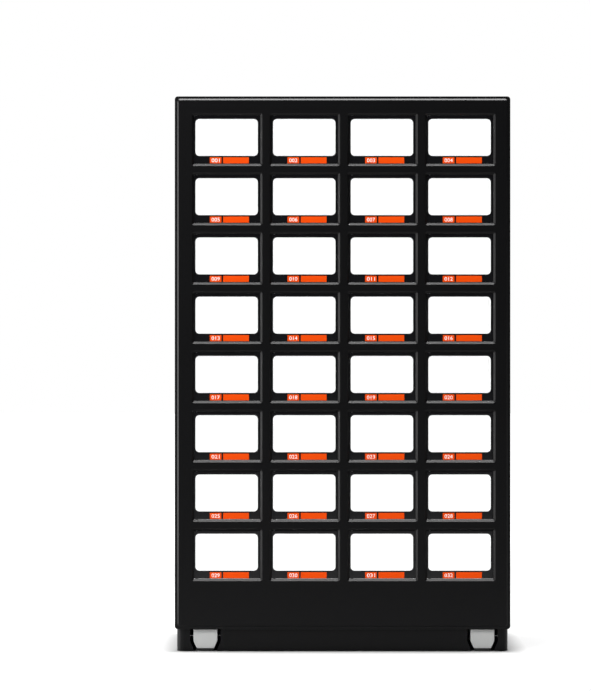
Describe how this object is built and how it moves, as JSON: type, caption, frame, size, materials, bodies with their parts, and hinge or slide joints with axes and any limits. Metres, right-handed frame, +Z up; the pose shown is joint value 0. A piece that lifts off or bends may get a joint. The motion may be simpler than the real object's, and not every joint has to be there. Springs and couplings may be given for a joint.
{
  "type": "vending locker",
  "caption": "Tall free-standing vending locker with a grid of small hinged doors, each with a clear window and orange number plate over its own compartment.",
  "frame": {"origin": "on the floor, in the middle of the locker's footprint", "axes": "+Z up, -Y towards the customer who faces the doors, +X to that customer's right"},
  "size_m": [1.118, 0.5, 1.85],
  "materials": {
    "black_powder_coat": "fine-textured matt black powder coat on folded sheet steel",
    "frame_paint": "matt black paint on welded steel tube",
    "door_gloss": "moulded gloss black door with clear acrylic window and orange plates",
    "white_liner": "satin white powder coat",
    "lock_body": "zinc-plated sheet steel",
    "plated_steel": "bright zinc-plated steel",
    "lamp_white": "opal polycarbonate over a strip lamp",
    "circuit_board": "green solder mask on glass-epoxy board",
    "supply_case": "bare folded aluminium case",
    "duct_grey": "extruded grey PVC",
    "black_plastic": "moulded black polyamide",
    "foot_grey": "light grey stove enamel on a cast shoe, with a black rubber pad"
  },
  "bodies": {
    "cabinet": {"front_fascia": "black_powder_coat", "frame_uprights": "frame_paint", "frame_rails": "frame_paint", "hinge_bushes": "black_plastic", "shelves": "white_liner", "column_partitions": "white_liner", "compartment_backs": "white_liner", "lock_cases": "lock_body", "lock_hooks": "plated_steel", "compartment_lamps": "lamp_white", "top_panel": "black_powder_coat", "floor_pan": "black_powder_coat", "side_panel_left": "black_powder_coat", "side_panel_right": "black_powder_coat", "rear_panel": "black_powder_coat", "rear_panel_screws": "plated_steel", "plinth_front": "black_powder_coat", "plinth_rear": "black_powder_coat", "plinth_sides": "black_powder_coat", "foot_sockets": "plated_steel", "lock_control_board": "circuit_board", "power_supply": "supply_case", "wiring_ducts": "duct_grey", "power_inlet": "black_plastic"},
    "door_101": {"door_101": "door_gloss"},
    "door_102": {"door_102": "door_gloss"},
    "door_103": {"door_103": "door_gloss"},
    "door_104": {"door_104": "door_gloss"},
    "door_201": {"door_201": "door_gloss"},
    "door_202": {"door_202": "door_gloss"},
    "door_203": {"door_203": "door_gloss"},
    "door_204": {"door_204": "door_gloss"},
    "door_301": {"door_301": "door_gloss"},
    "door_302": {"door_302": "door_gloss"},
    "door_303": {"door_303": "door_gloss"},
    "door_304": {"door_304": "door_gloss"},
    "door_401": {"door_401": "door_gloss"},
    "door_402": {"door_402": "door_gloss"},
    "door_403": {"door_403": "door_gloss"},
    "door_404": {"door_404": "door_gloss"},
    "door_501": {"door_501": "door_gloss"},
    "door_502": {"door_502": "door_gloss"},
    "door_503": {"door_503": "door_gloss"},
    "door_504": {"door_504": "door_gloss"},
    "door_601": {"door_601": "door_gloss"},
    "door_602": {"door_602": "door_gloss"},
    "door_603": {"door_603": "door_gloss"},
    "door_604": {"door_604": "door_gloss"},
    "door_701": {"door_701": "door_gloss"},
    "door_702": {"door_702": "door_gloss"},
    "door_703": {"door_703": "door_gloss"},
    "door_704": {"door_704": "door_gloss"},
    "door_801": {"door_801": "door_gloss"},
    "door_802": {"door_802": "door_gloss"},
    "door_803": {"door_803": "door_gloss"},
    "door_804": {"door_804": "door_gloss"},
    "foot_front_left": {"foot_front_left": "foot_grey"},
    "foot_rear_left": {"foot_rear_left": "foot_grey"},
    "foot_front_right": {"foot_front_right": "foot_grey"},
    "foot_rear_right": {"foot_rear_right": "foot_grey"}
  },
  "joints": [
    {"name": "door_101_hinge", "type": "hinge", "parent": "cabinet", "child": "door_101", "pos_m": [-0.4862, -0.238, 0.32325], "axis": [0, 0, -1], "range_deg": [0, 105]},
    {"name": "door_102_hinge", "type": "hinge", "parent": "cabinet", "child": "door_102", "pos_m": [-0.2274, -0.238, 0.32325], "axis": [0, 0, -1], "range_deg": [0, 105]},
    {"name": "door_103_hinge", "type": "hinge", "parent": "cabinet", "child": "door_103", "pos_m": [0.0314, -0.238, 0.32325], "axis": [0, 0, -1], "range_deg": [0, 105]},
    {"name": "door_104_hinge", "type": "hinge", "parent": "cabinet", "child": "door_104", "pos_m": [0.2902, -0.238, 0.32325], "axis": [0, 0, -1], "range_deg": [0, 105]},
    {"name": "door_201_hinge", "type": "hinge", "parent": "cabinet", "child": "door_201", "pos_m": [-0.4862, -0.238, 0.52075], "axis": [0, 0, -1], "range_deg": [0, 105]},
    {"name": "door_202_hinge", "type": "hinge", "parent": "cabinet", "child": "door_202", "pos_m": [-0.2274, -0.238, 0.52075], "axis": [0, 0, -1], "range_deg": [0, 105]},
    {"name": "door_203_hinge", "type": "hinge", "parent": "cabinet", "child": "door_203", "pos_m": [0.0314, -0.238, 0.52075], "axis": [0, 0, -1], "range_deg": [0, 105]},
    {"name": "door_204_hinge", "type": "hinge", "parent": "cabinet", "child": "door_204", "pos_m": [0.2902, -0.238, 0.52075], "axis": [0, 0, -1], "range_deg": [0, 105]},
    {"name": "door_301_hinge", "type": "hinge", "parent": "cabinet", "child": "door_301", "pos_m": [-0.4862, -0.238, 0.71825], "axis": [0, 0, -1], "range_deg": [0, 105]},
    {"name": "door_302_hinge", "type": "hinge", "parent": "cabinet", "child": "door_302", "pos_m": [-0.2274, -0.238, 0.71825], "axis": [0, 0, -1], "range_deg": [0, 105]},
    {"name": "door_303_hinge", "type": "hinge", "parent": "cabinet", "child": "door_303", "pos_m": [0.0314, -0.238, 0.71825], "axis": [0, 0, -1], "range_deg": [0, 105]},
    {"name": "door_304_hinge", "type": "hinge", "parent": "cabinet", "child": "door_304", "pos_m": [0.2902, -0.238, 0.71825], "axis": [0, 0, -1], "range_deg": [0, 105]},
    {"name": "door_401_hinge", "type": "hinge", "parent": "cabinet", "child": "door_401", "pos_m": [-0.4862, -0.238, 0.91575], "axis": [0, 0, -1], "range_deg": [0, 105]},
    {"name": "door_402_hinge", "type": "hinge", "parent": "cabinet", "child": "door_402", "pos_m": [-0.2274, -0.238, 0.91575], "axis": [0, 0, -1], "range_deg": [0, 105]},
    {"name": "door_403_hinge", "type": "hinge", "parent": "cabinet", "child": "door_403", "pos_m": [0.0314, -0.238, 0.91575], "axis": [0, 0, -1], "range_deg": [0, 105]},
    {"name": "door_404_hinge", "type": "hinge", "parent": "cabinet", "child": "door_404", "pos_m": [0.2902, -0.238, 0.91575], "axis": [0, 0, -1], "range_deg": [0, 105]},
    {"name": "door_501_hinge", "type": "hinge", "parent": "cabinet", "child": "door_501", "pos_m": [-0.4862, -0.238, 1.11325], "axis": [0, 0, -1], "range_deg": [0, 105]},
    {"name": "door_502_hinge", "type": "hinge", "parent": "cabinet", "child": "door_502", "pos_m": [-0.2274, -0.238, 1.11325], "axis": [0, 0, -1], "range_deg": [0, 105]},
    {"name": "door_503_hinge", "type": "hinge", "parent": "cabinet", "child": "door_503", "pos_m": [0.0314, -0.238, 1.11325], "axis": [0, 0, -1], "range_deg": [0, 105]},
    {"name": "door_504_hinge", "type": "hinge", "parent": "cabinet", "child": "door_504", "pos_m": [0.2902, -0.238, 1.11325], "axis": [0, 0, -1], "range_deg": [0, 105]},
    {"name": "door_601_hinge", "type": "hinge", "parent": "cabinet", "child": "door_601", "pos_m": [-0.4862, -0.238, 1.31075], "axis": [0, 0, -1], "range_deg": [0, 105]},
    {"name": "door_602_hinge", "type": "hinge", "parent": "cabinet", "child": "door_602", "pos_m": [-0.2274, -0.238, 1.31075], "axis": [0, 0, -1], "range_deg": [0, 105]},
    {"name": "door_603_hinge", "type": "hinge", "parent": "cabinet", "child": "door_603", "pos_m": [0.0314, -0.238, 1.31075], "axis": [0, 0, -1], "range_deg": [0, 105]},
    {"name": "door_604_hinge", "type": "hinge", "parent": "cabinet", "child": "door_604", "pos_m": [0.2902, -0.238, 1.31075], "axis": [0, 0, -1], "range_deg": [0, 105]},
    {"name": "door_701_hinge", "type": "hinge", "parent": "cabinet", "child": "door_701", "pos_m": [-0.4862, -0.238, 1.50825], "axis": [0, 0, -1], "range_deg": [0, 105]},
    {"name": "door_702_hinge", "type": "hinge", "parent": "cabinet", "child": "door_702", "pos_m": [-0.2274, -0.238, 1.50825], "axis": [0, 0, -1], "range_deg": [0, 105]},
    {"name": "door_703_hinge", "type": "hinge", "parent": "cabinet", "child": "door_703", "pos_m": [0.0314, -0.238, 1.50825], "axis": [0, 0, -1], "range_deg": [0, 105]},
    {"name": "door_704_hinge", "type": "hinge", "parent": "cabinet", "child": "door_704", "pos_m": [0.2902, -0.238, 1.50825], "axis": [0, 0, -1], "range_deg": [0, 105]},
    {"name": "door_801_hinge", "type": "hinge", "parent": "cabinet", "child": "door_801", "pos_m": [-0.4862, -0.238, 1.70575], "axis": [0, 0, -1], "range_deg": [0, 105]},
    {"name": "door_802_hinge", "type": "hinge", "parent": "cabinet", "child": "door_802", "pos_m": [-0.2274, -0.238, 1.70575], "axis": [0, 0, -1], "range_deg": [0, 105]},
    {"name": "door_803_hinge", "type": "hinge", "parent": "cabinet", "child": "door_803", "pos_m": [0.0314, -0.238, 1.70575], "axis": [0, 0, -1], "range_deg": [0, 105]},
    {"name": "door_804_hinge", "type": "hinge", "parent": "cabinet", "child": "door_804", "pos_m": [0.2902, -0.238, 1.70575], "axis": [0, 0, -1], "range_deg": [0, 105]},
    {"name": "foot_front_left_slide", "type": "slide", "parent": "cabinet", "child": "foot_front_left", "axis": [0, 0, -1], "range_m": [0, 0.015]},
    {"name": "foot_rear_left_slide", "type": "slide", "parent": "cabinet", "child": "foot_rear_left", "axis": [0, 0, -1], "range_m": [0, 0.015]},
    {"name": "foot_front_right_slide", "type": "slide", "parent": "cabinet", "child": "foot_front_right", "axis": [0, 0, -1], "range_m": [0, 0.015]},
    {"name": "foot_rear_right_slide", "type": "slide", "parent": "cabinet", "child": "foot_rear_right", "axis": [0, 0, -1], "range_m": [0, 0.015]}
  ]
}
